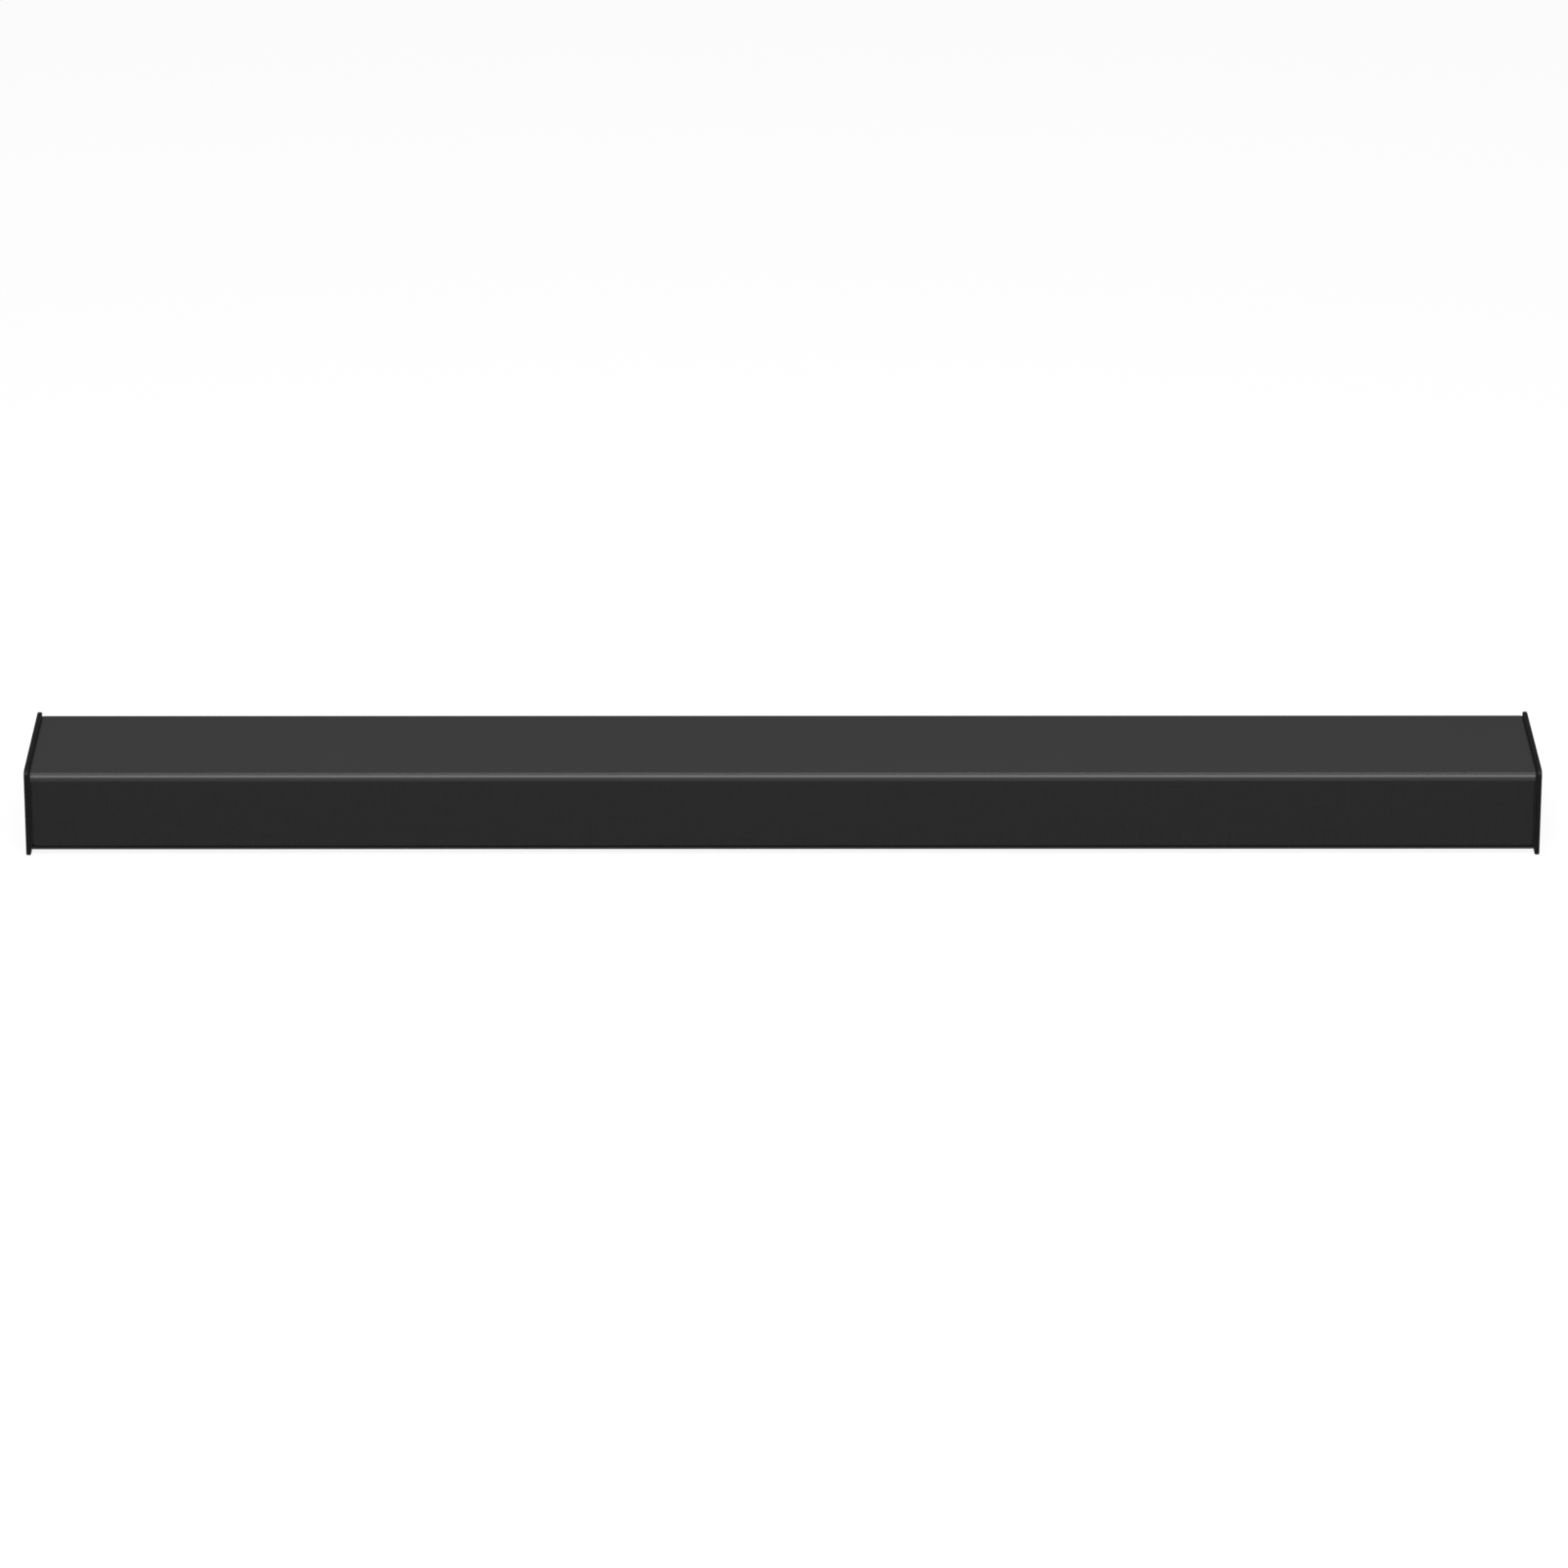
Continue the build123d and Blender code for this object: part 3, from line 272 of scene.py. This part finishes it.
def metal(name, colour, rough=(0.28, 0.42), scratch=(1.0, 0.06, 1.0), pitch=1200):
    """Plated or turned metal with fine marks along one axis."""
    s = Shader(name, Metallic=1.0)
    marks = s.noise(pitch, 3, 0.6, scratch)
    stain = s.noise(60, 4)
    dark = [c * 0.82 for c in colour] + [1.0]
    s.colour(s.mix(s.math("MULTIPLY", s.math("ADD", marks, stain), 0.5), dark, [*colour, 1.0]))
    s.roughness(s.remap(marks, *rough))
    s.bump(marks, 0.00001, 0.5)
    return s.material


def circuit_board():
    """Green solder mask over traces, with bare tinned pads."""
    s = Shader("board_green", IOR=1.5, Coat_Weight=0.4, Coat_Roughness=0.15)
    traces = s.node("ShaderNodeTexBrick")
    traces.inputs["Scale"].default_value = 90
    traces.inputs["Mortar Size"].default_value = 0.012
    traces.inputs["Brick Width"].default_value = 0.9
    s.link(s.place, traces.inputs["Vector"])
    pads = s.remap(s.voronoi(260), 1.0, 0.0, 0.10, 0.13)
    mask = s.mix(traces.outputs["Fac"], (0.012, 0.075, 0.03, 1), (0.03, 0.14, 0.06, 1))
    s.colour(s.mix(pads, mask, (0.45, 0.42, 0.36, 1)))
    s.roughness(s.remap(pads, 0.42, 0.25))
    s.bump(traces.outputs["Fac"], 0.00004, 0.5)
    return s.material


def printed_sleeve():
    """Shrunk plastic sleeve of a capacitor."""
    s = Shader("capacitor_sleeve", Roughness=0.3, Coat_Weight=0.3)
    s.colour(s.mix(s.noise(300, 2), (0.012, 0.018, 0.05, 1), (0.02, 0.03, 0.08, 1)))
    s.bump(s.noise(500, 2), 0.00005, 0.3)
    return s.material


def stacked_core():
    """Ferrite core and varnished windings."""
    s = Shader("transformer_core", Roughness=0.6)
    layers = s.noise(900, 2, 0.5, (0.02, 1.0, 0.02))
    s.colour(s.mix(layers, (0.03, 0.027, 0.024, 1), (0.09, 0.08, 0.065, 1)))
    s.bump(layers, 0.0001, 0.5)
    return s.material


def smoked_lens():
    s = Shader("lens_plastic", Transmission_Weight=0.6, IOR=1.5)
    shade(s, 0.03, 0.05, s.noise(200, 2))
    s.roughness(s.remap(s.noise(900, 2), 0.12, 0.2))
    return s.material


def lead_sleeve():
    """Two-core lead: a fine groove twists along it."""
    s = Shader("lead_sleeve", IOR=1.5)
    shade(s, 0.012, 0.025, s.noise(300, 3))
    s.roughness(s.remap(s.noise(800, 2), 0.45, 0.6))
    s.bump(s.noise(260, 1, 0.5, (1.0, 2.5, 2.5)), 0.0002, 0.5)
    return s.material


MATERIALS = {
    "shell_coat": coated_metal(),
    "plate_black": anodised_plate(),
    "chassis_plastic": moulded_plastic("chassis_plastic", 0.010, 0.016),
    "frame_plastic": moulded_plastic("frame_plastic", 0.020, 0.030, (0.5, 0.62), 2600),
    "socket_plastic": moulded_plastic("socket_plastic", 0.008, 0.012, (0.28, 0.4), 3600),
    "grille_cloth": woven_cloth(),
    "black_rubber": soft_rubber(),
    "cone_paper": cone_paper(),
    "spider_cloth": spider_cloth(),
    "dome_silk": dome_silk(),
    "motor_steel": metal("motor_steel", (0.33, 0.33, 0.35)),
    "screw_steel": metal("screw_steel", (0.13, 0.13, 0.135), (0.28, 0.4), (1, 1, 1), 2500),
    "bright_steel": metal("bright_steel", (0.62, 0.61, 0.59), (0.22, 0.36), (0.1, 1, 1), 2500),
    "insert_brass": metal("insert_brass", (0.75, 0.53, 0.22), (0.22, 0.34), (1, 1, 1), 2200),
    "board_green": circuit_board(),
    "capacitor_sleeve": printed_sleeve(),
    "sink_aluminium": metal("sink_aluminium", (0.55, 0.55, 0.57), (0.3, 0.45), (0.05, 1, 1), 1500),
    "transformer_core": stacked_core(),
    "lens_plastic": smoked_lens(),
    "lead_sleeve": lead_sleeve(),
}


def dress(piece, slot):
    """One material on the whole piece, and the record's slot of the same name."""
    piece.data.materials.clear()
    piece.data.materials.append(MATERIALS[slot])


for row in frame["record"]["subparts"]:
    dress(nodes[row["node"]], row["material_slot"])


# --- Mesh helpers ----------------------------------------------------------------
def mesh_piece(name, vertices, faces, slot):
    """Smooth-shaded mesh object with a material."""
    mesh = bpy.data.meshes.new(name)
    mesh.from_pydata([tuple(v) for v in vertices], [], faces)
    mesh.validate()
    piece = bpy.data.objects.new(name, mesh)
    scene.collection.objects.link(piece)
    mesh.polygons.foreach_set("use_smooth", [True] * len(mesh.polygons))
    dress(piece, slot)
    return piece


def loft(rings, close_ends=False):
    """Faces between closed rings of equal length, and from the last to the first where asked."""
    count = len(rings[0])
    faces = []
    last = len(rings) if close_ends else len(rings) - 1
    for r in range(last):
        for i in range(count):
            j = (i + 1) % count
            a, b = r * count, ((r + 1) % len(rings)) * count
            faces.append((a + i, a + j, b + j, b + i))
    return [p for ring in rings for p in ring], faces


# --- Grille cloth --------------------------------------------------------------------
CLOTH_THICK = 0.4 * MM
FOLD = 0.6 * MM  # radius of the cloth where it folds round the frame
LOW_FOLD = 1.8 * MM  # the same along the bottom, where the frame is rounded
RETURN = 3.8 * MM  # what is glued behind the frame
TOP_CORNER, LOW_CORNER = 0.9 * MM, 2.3 * MM
PIECES_ALONG, PIECES_UP = 190, 10  # straight stretches of the cloth's outline are cut into these
CORNER_STEPS, FOLD_STEPS, BACK_STEPS = 8, 8, 5
FRONT_SHARES = (0.0, 0.25, 0.5, 0.75, 0.93, 0.985)  # from the middle line out to the fold


def rounded_path(width, height, top_radius, low_radius, steps, straight):
    """Rounded rectangle in (x, z), with its outward normal, going once round."""
    arcs = []
    for sx, sz, start, radius in ((1, 1, 0, top_radius), (-1, 1, 90, top_radius),
                                  (-1, -1, 180, low_radius), (1, -1, 270, low_radius)):
        arc = []
        for k in range(steps + 1):
            a = math.radians(start + 90 * k / steps)
            nx, nz = math.cos(a), math.sin(a)
            x = sx * (width / 2 - radius) + radius * nx
            z = sz * (height / 2 - radius) + radius * nz
            arc.append((x, z, nx, nz))
        arcs.append(arc)
    path = []
    reach = width / 2 - max(top_radius, low_radius)
    for n, arc in enumerate(arcs):
        path += arc
        (x0, z0, nx, nz), (x1, z1, _, _) = arc[-1], arcs[(n + 1) % 4][0]
        if n % 2 == 0:  # the same places along the top and the bottom, so that they meet in the middle
            x0, x1 = math.copysign(reach, x0), math.copysign(reach, x1)
        pieces = straight[n % 2]
        for k in range(1, pieces):
            share = k / pieces
            path.append((x0 + (x1 - x0) * share, z0 + (z1 - z0) * share, nx, nz))
    return path


def grille_cloth():
    """Cloth stretched over the frame: flat front, soft folded edge, and a return glued behind."""
    low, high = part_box("grille_fabric")
    width, height = high.x - low.x, high.z - low.z
    centre = (low + high) / 2

    def fold(nz):
        """Radius of the folded edge, by the height share of its outward direction."""
        return FOLD + (LOW_FOLD - FOLD) * max(0.0, -nz) ** 2

    path = rounded_path(width, height, TOP_CORNER, LOW_CORNER, CORNER_STEPS, (PIECES_ALONG, PIECES_UP))
    rings = []
    # The front.
    for share in FRONT_SHARES:
        ring = []
        for x, z, nx, nz in path:
            reach_x, reach_z = x - nx * fold(nz), z - nz * fold(nz)
            spine = max(-width / 2 + height / 2, min(width / 2 - height / 2, reach_x))
            ring.append((spine + (reach_x - spine) * share, low.y, reach_z * share))
        rings.append(ring)
    # The fold round the frame's front edge, and the edge itself.
    for k in range(FOLD_STEPS + 1):
        a = math.radians(90 * k / FOLD_STEPS)
        out, deep = math.sin(a) - 1, 1 - math.cos(a)
        rings.append([(x + nx * out * fold(nz), low.y + deep * fold(nz), z + nz * out * fold(nz))
                      for x, z, nx, nz in path])
    for share in (0.5, 1.0):
        rings.append([(x, low.y + fold(nz) + (high.y - FOLD - low.y - fold(nz)) * share, z)
                      for x, z, _, nz in path])
    # The fold at the back, and the glued return.
    for k in range(1, BACK_STEPS + 1):
        a = math.radians(90 * k / BACK_STEPS)
        out, deep = FOLD * (math.cos(a) - 1), FOLD * math.sin(a)
        rings.append([(x + nx * out, high.y - FOLD + deep, z + nz * out) for x, z, nx, nz in path])
    rings.append([(x - nx * RETURN, high.y, z - nz * RETURN) for x, z, nx, nz in path])
    rings = [[(x + centre.x, y, z + centre.z) for x, y, z in ring] for ring in rings]
    points, faces = loft(rings)
    cloth = mesh_piece("grille_cloth", points, faces, "grille_cloth")
    work = bmesh.new()
    work.from_mesh(cloth.data)
    bmesh.ops.remove_doubles(work, verts=work.verts, dist=1e-6)
    bmesh.ops.dissolve_degenerate(work, edges=work.edges, dist=1e-7)
    bmesh.ops.recalc_face_normals(work, faces=work.faces)
    work.to_mesh(cloth.data)
    work.free()
    cloth.data.polygons.foreach_set("use_smooth", [True] * len(cloth.data.polygons))
    thick = cloth.modifiers.new("cloth", "SOLIDIFY")
    thick.thickness = CLOTH_THICK
    thick.offset = -1.0
    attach(cloth, "grille")
    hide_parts("grille_fabric")
    return cloth


grille_cloth()


# --- Surrounds and spiders ---------------------------------------------------------------
SPINE = 54 * MM  # straight length of the oblong woofers


def oblong(radius, steps=28, straight=12):
    """Points (x, z) round an oblong with the woofers' spine."""
    points = []
    for side in (1, -1):
        for k in range(steps + 1):
            a = math.radians(-90 + 180 * k / steps)
            points.append((side * (SPINE / 2 + radius * math.cos(a)), side * radius * math.sin(a)))
        for k in range(1, straight):
            points.append((side * SPINE / 2 * (1 - 2 * k / straight), side * radius))
    return points


def circle(radius, steps=72):
    turns = [2 * math.pi * k / steps for k in range(steps)]
    return [(radius * math.cos(a), radius * math.sin(a)) for a in turns]


def sprung_ring(name, node, outline, section, slot, y_face, inner, outer):
    """A closed skin from a section of (radius, forward), lofted round the node's centre; it takes the
    node's place."""
    low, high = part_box(node)
    centre = (low + high) / 2
    rings = [[(centre.x + x, y_face - forward, centre.z + z) for x, z in outline(radius)]
             for radius, forward in section]
    points, faces = loft(rings, close_ends=True)
    piece = mesh_piece(name, points, faces, slot)
    count = len(rings[0])
    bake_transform(piece)
    weights = []
    for radius, _ in section:
        t = min(1.0, max(0.0, (outer - radius) / (outer - inner)))
        weights += [t * t * (3 - 2 * t)] * count
    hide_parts(node)
    return piece


def skin_section(line, thick):
    """Closed section: the line, then the same line set back by thick."""
    return line + [(r, f - thick) for r, f in reversed(line)]


def surround(number):
    """Half roll: flat rim, roll, and a flat lip on the cone."""
    node = f"woofer_{number}_surround"
    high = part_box(node)[1]
    rim, lip, middle, radius, rubber = 19.5 * MM, 11.0 * MM, 14.5 * MM, 2.75 * MM, 0.5 * MM
    base, flat = 0.5 * MM, 0.2 * MM
    roll_steps, flatten = 12, 0.9
    line = [(rim, base), (rim - 1.0 * MM, base), (middle + radius + flat, base)]
    for k in range(roll_steps + 1):
        a = math.pi * k / roll_steps
        line.append((middle + radius * math.cos(a), base + radius * flatten * math.sin(a)))
    line += [(middle - radius - flat, base), (lip, base)]
    return sprung_ring(f"surround_{number}", node, oblong,
                       skin_section(line, rubber), "black_rubber", high.y, lip + 1 * MM, middle + radius)


def spider(number):
    """Corrugated disc between the coil and the basket."""
    node = f"woofer_{number}_spider"
    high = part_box(node)[1]
    inner, outer, waves, cloth = 7.0 * MM, 16.9 * MM, 3.5, 0.4 * MM
    middle, depth = 0.9 * MM, 0.45 * MM
    steps = 42
    line = []
    for k in range(steps + 1):
        t = k / steps
        line.append((outer + (inner - outer) * t, middle - depth * math.cos(2 * math.pi * waves * t)))
    return sprung_ring(f"spider_{number}", node, circle,
                       skin_section(line, cloth), "spider_cloth", high.y,
                       inner + 1 * MM, outer - 1 * MM)


for number in WOOFERS:
    surround(number)
    spider(number)


# --- Floor, light and camera -----------------------------------------------------------------
FLOOR_SIZE = 80.0
FLOOR_NEAR, FLOOR_FAR = 0.91, 0.99  # glow that the camera sees, within 2 m and past 9 m
FLOOR_DIM, ROOM_DIM = 0.4, 0.12  # what the floor and the room give to everything else


def floor_paint():
    """White that the camera sees evenly: it glows more far out, where the key light doesn't reach."""
    s = Shader("floor_white", Base_Color=(0.07, 0.07, 0.07, 1), Roughness=0.9, Specular_IOR_Level=0.0,
               Emission_Color=(1, 1, 1, 1))
    reach = s.node("ShaderNodeVectorMath", operation="LENGTH")
    s.link(s.place, reach.inputs[0])
    seen = s.remap(reach.outputs["Value"], FLOOR_NEAR, FLOOR_FAR, 2.0, 9.0)
    path = s.node("ShaderNodeLightPath")
    glow = s.remap(path.outputs["Is Camera Ray"], FLOOR_DIM, 1.0)
    s.link(seen, glow.node.inputs["To Max"])
    s.link(glow, s.shader.inputs["Emission Strength"])
    return s.material


def studio():
    """White floor and world, with a large soft light above the front and one above the top."""
    mesh = bpy.data.meshes.new("floor")
    half = FLOOR_SIZE / 2
    corners = [(x * half, y * half, 0) for x, y in ((-1, -1), (1, -1), (1, 1), (-1, 1))]
    mesh.from_pydata(corners, [], [(0, 1, 2, 3)])
    floor = bpy.data.objects.new("floor", mesh)
    scene.collection.objects.link(floor)
    mesh.materials.append(floor_paint())
    world = bpy.data.worlds.new("studio")
    scene.world = world
    world.use_nodes = True
    tree = world.node_tree
    background = tree.nodes["Background"]
    background.inputs["Color"].default_value = (1, 1, 1, 1)
    # The room is dim, and white only where it is seen directly, so that it joins the floor.
    path = tree.nodes.new("ShaderNodeLightPath")
    strength = tree.nodes.new("ShaderNodeMapRange")
    strength.inputs["To Min"].default_value = ROOM_DIM
    strength.inputs["To Max"].default_value = 1.0
    tree.links.new(path.outputs["Is Camera Ray"], strength.inputs["Value"])
    tree.links.new(strength.outputs["Result"], background.inputs["Strength"])
    area_light("key", (0, -2.0, 2.37), (3.2, 1.0), 180)
    area_light("top", (0, 0.55, 3.05), (2.4, 0.9), 42)


def area_light(name, place, size, power):
    light = bpy.data.lights.new(name, "AREA")
    light.shape = "RECTANGLE"
    light.size, light.size_y = size
    light.energy = power
    lamp = bpy.data.objects.new(name, light)
    lamp.location = place
    lamp.rotation_mode = "QUATERNION"
    lamp.rotation_quaternion = Vector(place).to_track_quat("Z", "Y")
    scene.collection.objects.link(lamp)


def photo_camera():
    """Long lens about five metres away, 21 degrees above the bar's front."""
    distance, elevation, azimuth, roll = 5.2017, 20.773, -0.2157, 0.0536
    target = Vector((0.00078, 0.0, 0.028509))
    a, e = math.radians(azimuth), math.radians(elevation)
    back = Vector((math.sin(a) * math.cos(e), -math.cos(a) * math.cos(e), math.sin(e)))
    data = bpy.data.cameras.new("camera")
    data.lens = 186.73
    data.sensor_width = 36.0
    data.clip_start, data.clip_end = 0.1, 100
    camera = bpy.data.objects.new("camera", data)
    camera.location = target + back * distance
    camera.rotation_mode = "QUATERNION"
    turn = (-back).to_track_quat("-Z", "Y")
    camera.rotation_quaternion = turn @ Quaternion((0, 0, 1), math.radians(roll))
    scene.collection.objects.link(camera)
    scene.camera = camera


studio()
photo_camera()
scene.view_settings.view_transform = "Standard"
scene.view_settings.look = "None"
